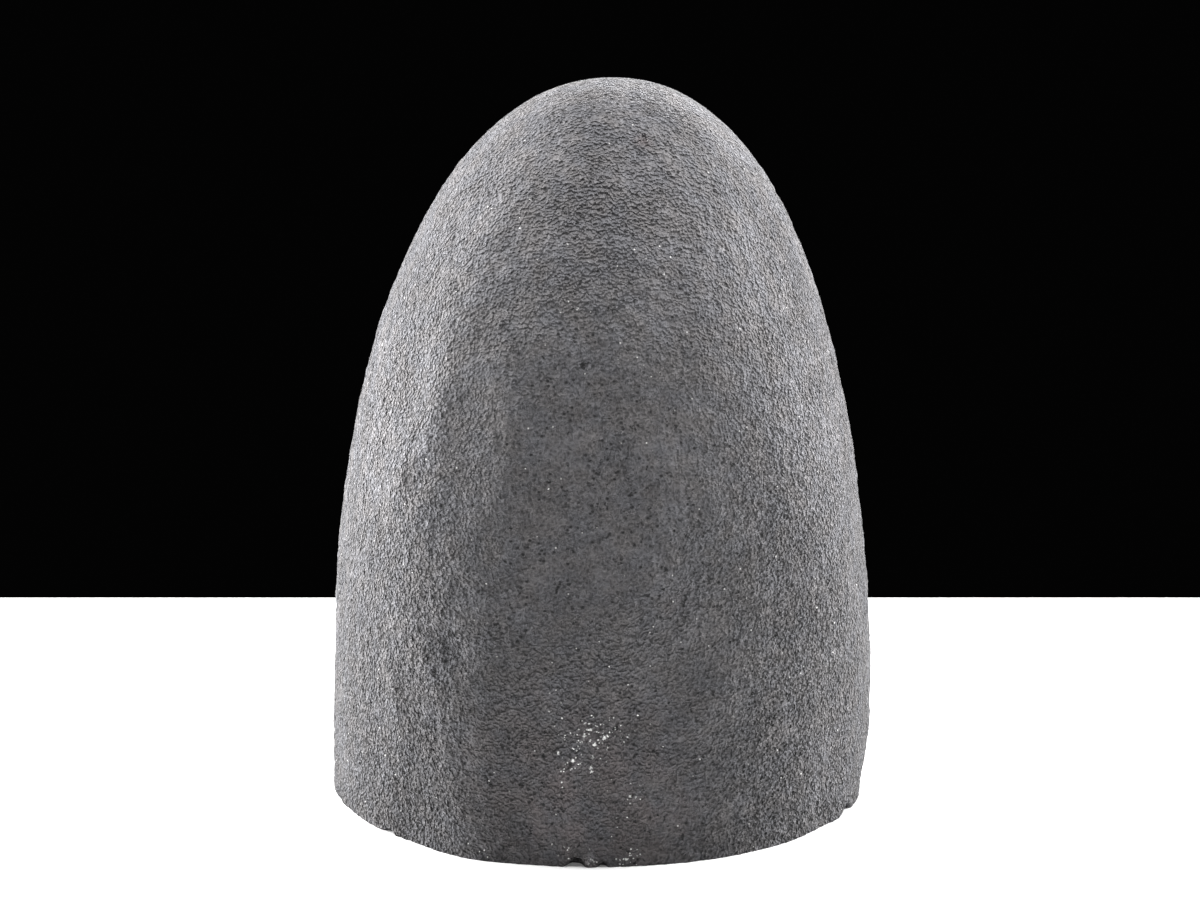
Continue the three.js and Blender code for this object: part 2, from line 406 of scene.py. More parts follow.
def chipping(turn, share, form):
    """How far chips and pits cut in: a chip is a wedge, deepest at the lower edge, and a pit is a
    flat-bottomed bell."""
    up = share * form.height
    cut = np.zeros(np.broadcast(turn, share).shape)
    for angle, wide, tall, deep in CHIPS:
        aside = round_from(angle, turn, form) / (wide * MM / 2)
        roof = tall * MM * (1 - 0.8 * np.abs(aside + 0.15)) * (1 + 0.15 * np.sin(9 * aside))
        wedge = np.clip((roof - up) / (0.35 * tall * MM), 0, 1)
        cut = np.maximum(cut, deep * MM * wedge * np.clip(1.6 - 1.6 * np.abs(aside), 0, 1))
    for angle, at, wide, tall, deep in PITS:
        aside = round_from(angle, turn, form) / (wide * MM)
        away = aside**2 + ((up - at * MM) / (tall * MM)) ** 2
        cut = np.maximum(cut, deep * MM * np.exp(-(away**2)))
    return cut


def dome_point(turn, share, form, proud=0.0):
    """A point of the back. In plan it is half an ellipse, whose width and depth both shrink as one
    minus a power of the height; turn runs from the right edge round the back to the left one."""
    half = form.width / 2 * (1 - share**FACE_RISE) ** FACE_ROUND
    bulge = form.depth * (1 - share**BACK_RISE) ** BACK_ROUND
    x = (half + proud) * np.cos(turn) + form.lean * share**4
    y = SLAB_Y - (bulge + proud) * np.sin(turn)
    return np.stack(np.broadcast_arrays(x, y, form.height * share), -1)


def even_shares(form, rows):
    """Height shares for the rows of the coat, evenly spaced along its slope and closer together
    next to the lower edge."""
    fine = np.sin(np.linspace(0, math.pi / 2, 4000))
    side = dome_point(0.0, fine, form)
    back = dome_point(math.pi / 2, fine, form)
    step = np.linalg.norm(np.diff(side, axis=0), axis=1)
    step += np.linalg.norm(np.diff(back, axis=0), axis=1)
    along = np.concatenate([[0], np.cumsum(step)])
    along += 0.02 * (1 - np.exp(-fine * form.height / (4 * MM)))
    return np.interp(np.linspace(0, along[-1], rows + 1)[:-1], along, fine)


def mouth_radius(angle, form):
    """Distance from the middle of the hollow to its wall in the sawn face: an ellipse with a tall
    upper half, with slow waves."""
    upright = np.where(np.sin(angle) > 0, form.hollow_rise, form.hollow_drop)
    part = np.hypot(np.cos(angle) / (form.hollow_width / 2), np.sin(angle) / upright)
    lobes = 0.022 * np.sin(3 * angle + 0.8) + 0.016 * np.sin(5 * angle + 2.4)
    return (1 + lobes) / part


def hollow_point(angle, dip, inset, form):
    """A point of the hollow's wall, drawn in by inset: an egg round the sawn face's normal, whose
    radius and depth are powers of the cosine and the sine of dip."""
    across = np.abs(np.cos(dip)) ** form.hollow_round
    inwards = np.sign(dip) * np.abs(np.sin(dip)) ** form.hollow_round
    lump = 1.5 * MM * np.sin(2 * dip) * np.sin(4 * angle + 3 * dip)
    radius = (mouth_radius(angle, form) - inset) * across + lump
    x = form.lean / 4 + radius * np.cos(angle)
    y = SLAB_Y - (form.hollow_depth - inset) * inwards
    z = form.hollow_middle + radius * np.sin(angle)
    return np.stack(np.broadcast_arrays(x, y, z), -1)


def grid(rows, columns):
    """Numbers of points stored row by row."""
    return np.arange(rows * columns).reshape(rows, columns)


def band(rows, closed=False):
    """Four-cornered faces between rows of point numbers. The ends of closed rows meet."""
    after = np.roll(rows, -1, axis=1)
    faces = np.stack([rows[:-1], after[:-1], after[1:], rows[1:]], -1)
    return (faces if closed else faces[:, :-1]).reshape(-1, 4)


def cap(row, pole):
    """Three-cornered faces from a closed row to one point."""
    return np.stack([row, np.roll(row, -1), np.full_like(row, pole)], -1)


def mesh_object(name, points, faces, smooth=True):
    """A mesh object from points round the dome's axis, moved over to the frame's middle, and lists
    of three- or four-cornered faces."""
    points = points - np.array((ASIDE, 0.0, 0.0))
    mesh = bpy.data.meshes.new(name)
    corners = [corners for part in faces for corners in part.tolist()]
    mesh.from_pydata(points.tolist(), [], corners, shade_flat=not smooth)
    mesh.validate()
    piece = bpy.data.objects.new(name, mesh)
    bpy.context.scene.collection.objects.link(piece)
    return piece


def face_outwards(mesh):
    """Turns every face of a closed mesh outwards."""
    work = bmesh.new()
    work.from_mesh(mesh)
    bmesh.ops.recalc_face_normals(work, faces=work.faces)
    work.to_mesh(mesh)
    work.free()


def paint(mesh, name, values):
    """Stores one number for each point of a mesh."""
    layer = mesh.attributes.new(name, "FLOAT", "POINT")
    layer.data.foreach_set("value", np.ascontiguousarray(values, np.float32))


def nearest(points, loop):
    """Distance from each point to the nearest point of a loop."""
    gap = points[:, None, :] - loop[None, :, :]
    return np.sqrt(np.min(np.sum(gap * gap, -1), 1))


# ------------------------ node helpers


class Nodes:
    """A material's node tree, with short calls that add a node and wire its inputs."""

    def __init__(self, name):
        self.material = bpy.data.materials.new(name)
        self.material.use_nodes = True
        self.tree = self.material.node_tree
        self.shader = self.tree.nodes["Principled BSDF"]
        self.output = self.tree.nodes["Material Output"]
        self.coords = self.add("ShaderNodeTexCoord").outputs["Object"]

    def add(self, kind, settings=None, **inputs):
        """A node of a kind, its settings, and its inputs as values or as other nodes' outputs."""
        node = self.tree.nodes.new(kind)
        for key, value in (settings or {}).items():
            setattr(node, key, value)
        for key, value in inputs.items():
            self.wire(node, key.replace("_", " "), value)
        return node

    def wire(self, node, key, value):
        """Sets or links one input, by its name or its number."""
        socket = node.inputs[int(key[1:])] if key[1:].isdigit() else node.inputs[key]
        if isinstance(value, bpy.types.NodeSocket):
            self.tree.links.new(value, socket)
        else:
            socket.default_value = value

    def noise(self, scale, detail=2.0, rough=0.5):
        """Noise with scale lumps to the metre."""
        settings = {"Scale": scale, "Detail": detail, "Roughness": rough}
        return self.add("ShaderNodeTexNoise", Vector=self.coords, **settings).outputs["Fac"]

    def grains(self, scale, output="Distance", feature="F1"):
        """Round cells, scale of them to the metre."""
        settings = {"feature": feature}
        node = self.add("ShaderNodeTexVoronoi", settings, Vector=self.coords, Scale=scale)
        return node.outputs[output]

    def specks(self, scale, size, odds):
        """Round specks in some of the cells: 1 nearer to the middle than size, where the cell's
        random number is above odds, and 0 elsewhere. Both limits are soft."""
        dots = self.ramp(self.grains(scale), (size[0], 1.0), (size[1], 0.0))
        lucky = self.ramp(self.grains(scale, "Color"), (odds[0], 0.0), (odds[1], 1.0))
        return self.times(dots, lucky)

    def painted(self, name):
        """The number that paint stored for each point."""
        return self.add("ShaderNodeAttribute", {"attribute_name": name}).outputs["Fac"]

    def place(self, axis):
        """How far along X, Y or Z a point is."""
        return self.add("ShaderNodeSeparateXYZ", i0=self.coords).outputs[axis]

    def math(self, operation, a, b=0.0, clamp=False):
        """One step of arithmetic."""
        settings = {"operation": operation, "use_clamp": clamp}
        return self.add("ShaderNodeMath", settings, i0=a, i1=b).outputs[0]

    def times(self, a, b):
        """One number times another."""
        return self.math("MULTIPLY", a, b)

    def ramp(self, value, *stops):
        """A number turned into a colour or a grey by stops of (place, grey or colour)."""
        node = self.add("ShaderNodeValToRGB", Fac=value)
        marks = node.color_ramp.elements
        while len(marks) < len(stops):
            marks.new(0.5)
        for mark, (place, shade) in zip(marks, stops):
            mark.position = place
            mark.color = (*([shade] * 3 if isinstance(shade, (int, float)) else shade), 1)
        return node.outputs["Color"]

    def mix(self, factor, a, b, blend="MIX"):
        """Two colours mixed by a factor."""
        node = self.add("ShaderNodeMix", {"data_type": "RGBA", "blend_type": blend})
        for socket, value in ((0, factor), (6, a), (7, b)):
            if isinstance(value, tuple) and len(value) == 3:
                value = (*value, 1)
            self.wire(node, f"i{socket}", value)
        return node.outputs[2]

    def tint(self, colour, by, share=1.0):
        """A colour times another colour or number, in part when share is below 1."""
        return self.mix(share, colour, by, "MULTIPLY")

    def near(self, middle, reach):
        """1 at a place on the stone and 0 further from it than reach."""
        settings = {"operation": "DISTANCE"}
        apart = self.add("ShaderNodeVectorMath", settings, i0=self.coords, i1=middle)
        share = self.math("DIVIDE", apart.outputs["Value"], reach)
        return self.math("SUBTRACT", 1.0, share, clamp=True)

    def spots(self, listed, form):
        """How near a point is to each of the listed spots of the coat, and that spot's strength."""
        for turn, up, reach, strength in listed:
            yield self.near(coat_spot(turn, up, form), reach * MM), strength

    def bump(self, height, distance, strength=1.0):
        """A bump of a height map."""
        node = self.add("ShaderNodeBump", Height=height, Distance=distance, Strength=strength)
        return node.outputs["Normal"]

    def finish(self, **inputs):
        """Wires the shader's inputs and gives the material."""
        for key, value in inputs.items():
            self.wire(self.shader, key.replace("_", " "), value)
        return self.material


# ------------------------ materials


def coat_spot(turn, up, form):
    """The place on the back at an angle in degrees and a height in millimetres."""
    turn, share = math.radians(turn), up * MM / form.height
    point = dome_point(turn, share, form, relief(turn, share, form))
    return tuple((point - (ASIDE, 0.0, 0.0)).tolist())


def cement_colour(n, grain, coat, form):
    """Grey with soft clouds, and painted shade: darker towards the foot, and darker between the
    grains with lighter grain tops. The flanks, most of all low down, have sand of many tones,
    partly its own colour and partly painted shade among the grains in raking light. Some places
    are warmer or cooler, some paler, and some stained brown."""
    share = n.math("DIVIDE", n.place("Z"), form.height)
    aside = n.math("DIVIDE", n.math("ABSOLUTE", n.place("X")), form.width / 2)
    clouds = n.ramp(n.noise(38, 3.0, 0.6), (0.3, 0.95), (0.7, 1.05))
    colour = n.tint(tuple(coat.grey), clouds)
    # Painted shade: darker towards the foot.
    colour = n.tint(colour, n.ramp(share, (0.0, 0.73), (0.3, 0.86), (0.62, 1.05)))
    # Painted shade between the grains and lighter grain tops, from the height of the grains.
    painted_grain_shade = n.ramp(n.times(grain, 0.5), (0.27, 0.5), (0.4, 0.88), (0.52, 1.03), (0.72, 1.35))
    colour = n.tint(colour, painted_grain_shade)

    # Sand of many tones on the flanks, most of all low down: partly the sand's own colour and
    # partly painted shade among the grains where the light rakes across the flanks.
    low = n.ramp(share, (0.1, 1.0), (0.35, 0.75), (0.6, 0.6), (0.85, 0.2))
    flanks = n.ramp(aside, (0.2, 0.0), (0.6, 1.0), (0.86, 0.9), (1.0, 0.3))
    sand_and_raking_shade = n.grains(1.6 / coat.grain, "Color")
    sand_and_raking_shade = n.ramp(sand_and_raking_shade, (0.2, 0.05), (0.4, 0.82), (0.55, 1.12), (0.8, 1.4))
    colour = n.tint(colour, sand_and_raking_shade, n.times(flanks, low))

    warmth = n.noise(150, 2.0, 0.5)
    warmth = n.ramp(warmth, (0.36, (0.97, 0.99, 1.04)), (0.64, (1.04, 1.0, 0.97)))
    colour = n.tint(colour, warmth, 0.7)
    for near, strength in n.spots(PALE, form):
        colour = n.tint(colour, n.math("ADD", 1.0, n.times(near, strength / 2)))
    blotches = n.noise(140, 3.0)
    for near, strength in n.spots(STAINS, form):
        patch = n.times(near, n.ramp(blotches, (0.35, 0.0), (0.65, strength)))
        colour = n.mix(patch, colour, tuple(coat.rust))
    return colour


def coat_pits(n, coat, form):
    """1 in a pit and 0 outside: the lowest parts of a noise, more of them in the pitted places,
    and small round holes in some cells."""
    hollows = n.noise(0.42 / coat.grain, 2.0, 0.65)
    for near, strength in n.spots(PITTED, form):
        hollows = n.math("SUBTRACT", hollows, n.times(near, strength))
    few = n.ramp(n.noise(130, 2.0, 0.5), (0.4, 0.3), (0.62, 1.0))
    lot = n.times(n.grains(0.55 / coat.grain, "Color"), few)
    holes = n.ramp(n.grains(0.55 / coat.grain), (0.15, 1.0), (0.28, 0.0))
    holes = n.times(holes, n.ramp(lot, (0.4, 0.0), (0.44, 1.0)))
    return n.math("MAXIMUM", n.ramp(hollows, (0.28, 1.0), (0.325, 0.0)), holes)


def flaked(n, colour, coat, form):
    """A colour with white flakes of two sizes and ragged outlines over it. They are rare, and crowd
    together near the spots of FLAKES."""
    rough = n.noise(2.5 / coat.grain, 0.0)
    crowd = n.times(rough, 0.04)
    for near, strength in n.spots(FLAKES, form):
        crowd = n.math("ADD", crowd, n.times(near, strength))
    ragged = n.times(rough, 0.3)
    for scale, rare in ((1.1 / coat.grain, 0.96), (0.5 / coat.grain, 1.04)):
        lucky = n.math("SUBTRACT", n.math("ADD", n.grains(scale, "Color"), crowd), rare)
        speck = n.ramp(n.math("ADD", n.grains(scale), ragged), (0.34, 1.0), (0.46, 0.0))
        flake = n.times(speck, n.ramp(lucky, (0.0, 0.0), (0.02, 1.0)))
        colour = n.mix(flake, colour, FLAKE_WHITE)
    return colour


def cement_material(coat, form):
    """Matt grey cement with sand in it: fine grains, pits with painted shade in them, white
    flakes, and painted glints that stand in for the sparkle of quartz grains."""
    n = Nodes("cement_coat")
    grain = n.math("ADD", n.noise(1.5 / coat.grain, 0.0), n.noise(0.95 / coat.grain, 0.0))
    patchy = n.ramp(n.noise(95, 3.0, 0.6), (0.38, 0.5), (0.58, 0.95))
    height = n.times(n.math("SUBTRACT", grain, 1.0), patchy)
    height = n.math("ADD", height, n.times(n.noise(0.28 / coat.grain, 1.0, 0.5), 0.9))
    pits = coat_pits(n, coat, form)
    height = n.math("SUBTRACT", height, n.times(pits, 1.4))

    # Painted shade in the pits and holes of the coat.
    colour = n.mix(n.times(pits, 0.85), cement_colour(n, grain, coat, form), PAINTED_PIT_SHADE)
    colour = flaked(n, colour, coat, form)
    # Painted glints: light grey specks as the sparkle of quartz grains.
    colour = n.mix(n.specks(*PAINTED_GLINTS), colour, PAINTED_GLINT_GREY)
    normal = n.bump(height, COAT_BUMP)
    return n.finish(Base_Color=colour, Roughness=0.86, Normal=normal, Specular_IOR_Level=0.3)


def face_material():
    """The sawn face, from the outside in: cement, dark rind with a green seam, and bands of agate
    that follow the hollow."""
    n = Nodes("polished_face")
    wobble = n.times(n.math("SUBTRACT", n.noise(110, 3.0, 0.6), 0.5), 1.6 * MM)
    inner = n.math("ADD", n.painted("rim_in"), wobble)
    outer = n.math("ADD", n.painted("rim_out"), n.times(wobble, 0.5))
    rind = n.noise(650, 5.0, 0.75)
    rind = n.ramp(rind, (0.34, (0.008, 0.0083, 0.008)), (0.66, (0.034, 0.033, 0.03)))
    rind = n.mix(n.specks(*SEEDS), rind, SEED_GREEN)
    banding = n.math("DIVIDE", inner, BANDS_WIDTH)
    colour = n.mix(n.ramp(banding, (0.78, 0.0), (0.82, 1.0)), n.ramp(banding, *AGATE), rind)
    coat = n.ramp(n.math("DIVIDE", outer, CEMENT_WIDTH), (0.42, 1.0), (0.47, 0.0))
    colour = n.mix(coat, colour, SAWN_CEMENT)
    rough = n.math("ADD", 0.34, n.times(coat, 0.4))
    normal = n.bump(n.noise(900, 2.0), FACE_BUMP, 0.5)
    return n.finish(Base_Color=colour, Roughness=rough, Normal=normal, Specular_IOR_Level=0.2)


def wall_material():
    """Pale agate behind the crystals."""
    n = Nodes("agate_wall")
    colour = n.ramp(n.noise(80, 3.0), (0.3, (0.5, 0.46, 0.55)), (0.7, (0.68, 0.65, 0.72)))
    return n.finish(Base_Color=colour, Roughness=0.6)


def foot_material():
    """The sawn underside: grey stone with the fine arcs of the saw."""
    n = Nodes("sawn_foot")
    colour = n.ramp(n.noise(300, 4.0, 0.6), (0.3, (0.12, 0.12, 0.12)), (0.7, (0.22, 0.215, 0.21)))
    rings = {"wave_type": "RINGS"}
    arcs = n.add("ShaderNodeTexWave", rings, Vector=n.coords, Scale=120.0, Distortion=1.0)
    normal = n.bump(arcs.outputs["Fac"], SAW_BUMP, 0.5)
    return n.finish(Base_Color=colour, Roughness=0.7, Normal=normal)


def amethyst_material(crystals):
    """Clear crystal, faintly milky, pale at the root and violet at the tip. Where it is sawn it is
    satin, in cells of different tones with dark seams."""
    n = Nodes("amethyst")
    cloud = n.times(n.math("SUBTRACT", n.noise(120, 2.0), 0.5), 5 * MM)
    share = n.math("DIVIDE", n.math("ADD", n.painted("rise"), cloud), VIOLET_HEIGHT)
    root = tuple(crystals.root)
    tip = tuple(crystals.tip)
    middle = tuple((a + 2 * b) / 3 for a, b in zip(root, tip))
    colour = n.ramp(share, (0.15, root), (0.42, middle), (0.8, tip))
    sawn = n.ramp(n.math("DIVIDE", n.place("Y"), SLAB_Y), (0.993, 0.04), (0.998, 0.4))
    tones = n.ramp(n.grains(SAWN_CELLS, "Color"), (0.25, 0.7), (0.75, 1.15))
    seams = n.grains(SAWN_CELLS, feature="DISTANCE_TO_EDGE")
    seams = n.ramp(seams, (0.0, 0.75), (0.06, 1.0))
    colour = n.tint(colour, n.tint(tones, seams), n.times(sawn, 2.2))
    violet = (*crystals.violet, 1)
    absorb = n.add("ShaderNodeVolumeAbsorption", Color=violet, Density=crystals.density)
    n.tree.links.new(absorb.outputs[0], n.output.inputs["Volume"])
    return n.finish(
        Base_Color=colour,
        Roughness=sawn,
        IOR=QUARTZ_IOR,
        Transmission_Weight=CLEARNESS,
        Normal=n.bump(n.noise(500, 2.0), CRYSTAL_BUMP, 0.4),
    )


def table_material():
    """A white table that lights evenly."""
    n = Nodes("white_table")
    return n.finish(
        Base_Color=(0.9, 0.9, 0.9, 1),
        Roughness=0.6,
        Specular_IOR_Level=0.2,
        Emission_Color=(1, 1, 1, 1),
        Emission_Strength=0.1,
    )


# ------------------------ the stone


class GEODE_OT_stone(bpy.types.Operator):
    """Builds the stone: coated back, sawn face, wall of the hollow and sawn foot"""

    bl_idname = "geode.stone"
    bl_label = "Geode stone"

    def execute(self, context):
        form = context.scene.geode_form
        coat = context.scene.geode_coat
        columns = COAT_COLUMNS + 1
        turn = np.linspace(0, math.pi, columns)[None, :]
        share = even_shares(form, COAT_ROWS)[:, None]
        proud = relief(turn, share, form)
        smooth = dome_point(turn, share, form, proud)
        proud = proud + self.unevenness(smooth, coat) * (1 - share**20)
        proud = proud - chipping(turn, share, form)
        back = dome_point(turn, share, form, proud)
        back[:, 0, 1] = SLAB_Y
        back[:, -1, 1] = SLAB_Y
        crown = np.array([[form.lean, SLAB_Y, form.height]])

        # The foot's front edge from right to left, without its corners.
        along = np.linspace(0, 1, columns)[1:-1, None]
        front = back[0, 0] * (1 - along) + back[0, -1] * along
        front[:, 2] = 0

        # Where each region's points are, and the outline of the sawn face.
        points = [back.reshape(-1, 3), crown, front]
        rows = grid(COAT_ROWS, columns)
        right, left = rows[:, 0], rows[:, -1]
        crown_at = rows.size
        front_at = crown_at + 1
        foot_line = np.concatenate([right[:1], front_at + np.arange(len(front)), left[:1]])
        outline = np.concatenate([right, [crown_at], left[::-1], foot_line[-2:0:-1]])

        # Rings across the sawn face to the mouth, and rows from there down the wall.
        loop = np.concatenate(points)[outline]
        angle = np.arctan2(loop[:, 2] - form.hollow_middle, loop[:, 0] - form.lean / 4)
        mouth = hollow_point(angle, 0.0, 0.0, form)
        step = np.linspace(0, 1, FACE_RINGS + 1)[1:, None, None]
        rings = loop * (1 - step) + mouth * step
        dips = np.linspace(0, math.pi / 2, WALL_ROWS + 1)[1:-1, None]
        wall = hollow_point(angle[None, :], dips, 0.0, form)
        deepest = hollow_point(0.0, math.pi / 2, 0.0, form)[None]
        points += [rings.reshape(-1, 3), wall.reshape(-1, 3), deepest]
        made = np.concatenate(points)

        ring_at = front_at + len(front)
        around = len(outline)
        face_rows = np.concatenate([[outline], ring_at + grid(FACE_RINGS, around)])
        wall_at = ring_at + FACE_RINGS * around
        wall_rows = np.concatenate([face_rows[-1:], wall_at + grid(len(wall), around)])
        regions = (
            (COAT, band(rows)),
            (COAT, cap(rows[-1], crown_at)[:-1]),
            (FACE, band(face_rows, closed=True)),
            (WALL, band(wall_rows, closed=True)),
            (WALL, cap(wall_rows[-1], len(made) - 1)),
            (FOOT, band(np.stack([rows[0], foot_line]))),
        )
        stone = mesh_object("geode_dome_stone", made, [part for _, part in regions])
        mesh = stone.data
        kinds = np.concatenate([np.full(len(part), kind) for kind, part in regions])
        mesh.polygons.foreach_set("material_index", kinds.astype(np.int32))
        face_outwards(mesh)
        mesh.set_sharp_from_angle(angle=SHARP_EDGE)

        face_ids = np.unique(face_rows)
        for name, edge in (("rim_out", loop), ("rim_in", mouth)):
            away = np.zeros(len(made))
            away[face_ids] = nearest(made[face_ids], edge)
            paint(mesh, name, away)
        mesh.materials.append(cement_material(coat, form))
        for dressed in (face_material, wall_material, foot_material):
            mesh.materials.append(dressed())
        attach(stone, "root")
        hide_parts("geode_stone")
        return {"FINISHED"}

    @staticmethod
    def unevenness(points, coat):
        """Soft swells a centimetre or two wide, trowel dabs that are highest at the upper left, and
        coarse grit two or three millimetres wide."""
        swell = noise(points, 26 * MM, 11) * 0.8 + noise(points, 11 * MM, 23) * 0.5
        x, _, z = np.moveaxis(points, -1, 0)
        left = np.exp(-(((x + 52 * MM) / (30 * MM)) ** 2) - ((z - 115 * MM) / (50 * MM)) ** 2)
        dabs = noise(points, 5.5 * MM, 37) * (0.45 + 0.4 * left)
        grit = noise(points, 2.6 * MM, 51) * 0.6 + noise(points, 1.5 * MM, 67) * 0.75
        return (swell + dabs) * coat.swell + grit * coat.grit


# ------------------------ the crystals


def seats(count, first, crust, form):
    """Where crystals stand: a spiral by the golden angle from the deepest point to the mouth, a
    little unevenly. Gives their numbers, feet, axes and spacings."""
    i = np.arange(count)
    share = (i + 0.5) / count
    dip_slack, angle_slack, offset, step = 0.05, 0.08, 0.37, 0.02
    dip = np.arcsin(1 - SEAT_REACH * share) + dip_slack * (chance(i + first, 1) - 0.5)
    angle = i * GOLDEN_ANGLE + angle_slack * (chance(i + first, 2) - 0.5) + first * offset

    def wall(turned, dipped):
        return hollow_point(angle + turned, dip + dipped, crust, form)

    axis = np.cross(wall(0, step) - wall(0, -step), wall(step, 0) - wall(-step, 0))
    size = np.linalg.norm(axis, axis=1)
    patch = size / (2 * step) ** 2 / np.maximum(0.05, np.cos(dip))
    spacing = np.sqrt(patch * 2 * math.pi / count)
    return i + first, wall(0, 0), axis / size[:, None], spacing


def turned_to(axis, roll):
    """Turning matrices that roll about +Z and then lean +Z over to each axis the short way."""
    x, y, z = axis.T
    zero = np.zeros_like(x)
    skew = np.stack([zero, zero, x, zero, zero, y, -x, -y, zero], -1).reshape(-1, 3, 3)
    lean = np.eye(3) + skew + skew @ skew / (1 + z)[:, None, None]
    cos, sin = np.cos(roll), np.sin(roll)
    one = np.ones_like(roll)
    spin = np.stack([cos, -sin, zero, sin, cos, zero, zero, zero, one], -1).reshape(-1, 3, 3)
    return lean @ spin


def quartz_points(half, root, i):
    """The 22 corners of each crystal, each where three planes meet: six upright sides, three large
    and three small faces that lean in at 51.8 degrees, and a flat root. Chance moves the apex and
    the sides a little, and the small faces further out."""
    azimuth = np.arange(6) * math.pi / 3
    out = np.stack([np.cos(azimuth), np.sin(azimuth), np.zeros(6)], -1)
    apex = half[:, None] * 0.1 * (chances(i, 7, 2) - 0.5) * 2
    sides = half[:, None] * (1 + 0.1 * (chances(i, 30, 6) - 0.5))
    tips = TIP_SLOPE * half[:, None] + TIP_SLOPE * (apex @ out[:, :2].T)
    tips[:, 1::2] += half[:, None] * (0.36 + 0.2 * chances(i, 40, 3))
    normals = np.concatenate([out, TIP_SLOPE * out + (0, 0, 1), [[0, 0, -1]]])
    reaches = np.concatenate([sides, tips, root[:, None]], 1)

    # The planes' numbers: sides from 0, faces of the tip from 6, the even ones large, and the root.
    edges = [(k, (k + 1) % 6) for k in range(6)]
    corners = [(6, 8, 10)] + [(6 + k, 7 + k, 6 + (k + 2) % 6) for k in (0, 2, 4)]
    for k in (1, 3, 5):
        corners += [(6 + k, 5 + k, k), (6 + k, 6 + (k + 1) % 6, k)]
    corners += [(6 + (k + k % 2) % 6, k, after) for k, after in edges]
    corners = np.array(corners + [(12, k, after) for k, after in edges])
    return np.linalg.solve(normals[corners][None], reaches[:, corners][..., None])[..., 0]


def quartz_faces():
    """Three-cornered faces of one crystal, numbered as quartz_points numbers its corners."""
    apex, ridge, low, shoulder, foot = 0, 1, 4, 10, 16
    rings = []
    for k in range(3):
        before, here, left = (k + 2) % 3, 2 * k, (2 * k + 5) % 6
        above = [apex, ridge + before, low + 2 * before + 1, shoulder + left]
        small = [low + here, shoulder + here, foot + here]
        rings += [
            above + [shoulder + here, low + here, ridge + k],
            [ridge + k, low + here, low + here + 1],
            [shoulder + left, foot + left, foot + here, shoulder + here],
            small + [number + 1 for number in reversed(small)],
        ]
    rings.append([foot + k for k in range(5, -1, -1)])
    fans = [[(ring[0], *pair) for pair in zip(ring[1:], ring[2:])] for ring in rings]
    return np.array(sum(fans, []))


def parted(centres, radii):
    """A group number for each crystal, so that none touches another of its own group: each takes
    the lowest number that no crystal near it has."""
    apart = np.linalg.norm(centres[:, None] - centres[None], axis=-1)
    touching = apart < radii[:, None] + radii[None]
    group = np.full(len(centres), -1)
    for n in np.argsort(-radii):
        taken = set(group[touching[n]].tolist())
        group[n] = next(g for g in itertools.count() if g not in taken)
    return group


def combine(piece, tool, operation):
    """Joins, cuts or keeps what two solids share, and removes the tool."""
    step = piece.modifiers.new(operation, "BOOLEAN")
    step.operation = operation
    step.solver = "MANIFOLD"
    step.object = tool
    evaluated = piece.evaluated_get(bpy.context.evaluated_depsgraph_get())
    old, new = piece.data, bpy.data.meshes.new_from_object(evaluated)
    piece.modifiers.clear()
    piece.data = new
    bpy.data.meshes.remove(old)
    spent = tool.data
    bpy.data.objects.remove(tool)
    bpy.data.meshes.remove(spent)


def egg(name, inset, form):
    """The hollow as a closed solid, half of it in front of the sawn face."""
    angle = np.linspace(0, 2 * math.pi, EGG_COLUMNS, endpoint=False)[None, :]
    dip = np.linspace(math.pi / 2, -math.pi / 2, EGG_ROWS + 1)[1:-1, None]
    points = hollow_point(angle, dip, inset, form).reshape(-1, 3)
    ends = hollow_point(0.0, np.array([math.pi / 2, -math.pi / 2]), inset, form)
    rows = grid(EGG_ROWS - 1, EGG_COLUMNS)
    faces = [
        band(rows, closed=True),
        cap(rows[0], rows.size)[:, [1, 0, 2]],
        cap(rows[-1], rows.size + 1),
    ]
    solid = mesh_object(name, np.concatenate([points, ends]), faces, smooth=False)
    face_outwards(solid.data)
    return solid


def front_block(form):
    """A closed block that holds everything in front of the sawn face."""
    wide, tall = form.width, form.height
    low = np.array([-wide, SLAB_Y, -tall])
    high = np.array([wide, SLAB_Y + 2 * form.depth, 2 * tall])
    corners = np.array(list(itertools.product((0, 1), repeat=3)))
    faces = [[0, 1, 3, 2], [4, 6, 7, 5], [0, 4, 5, 1], [2, 3, 7, 6], [0, 2, 6, 4], [1, 5, 7, 3]]
    points = low + corners * (high - low)
    block = mesh_object("front_block", points, [np.array(faces)], smooth=False)
    face_outwards(block.data)
    return block


def largest_part(piece):
    """Removes whatever isn't joined to the largest part of a mesh: each point takes the lowest
    number among its neighbours until nothing changes."""
    mesh = piece.data
    edges = np.empty(len(mesh.edges) * 2, np.int32)
    mesh.edges.foreach_get("vertices", edges)
    a, b = edges.reshape(-1, 2).T
    label = np.arange(len(mesh.vertices))
    while True:
        lowest = label.copy()
        np.minimum.at(lowest, a, label[b])
        np.minimum.at(lowest, b, label[a])
        lowest = lowest[lowest]
        if np.array_equal(lowest, label):
            break
        label = lowest
    keep = np.bincount(label).argmax()
    work = bmesh.new()
    work.from_mesh(mesh)
    stray = [point for point, spot in zip(work.verts, label) if spot != keep]
    bmesh.ops.delete(work, geom=stray, context="VERTS")
    work.to_mesh(mesh)
    work.free()


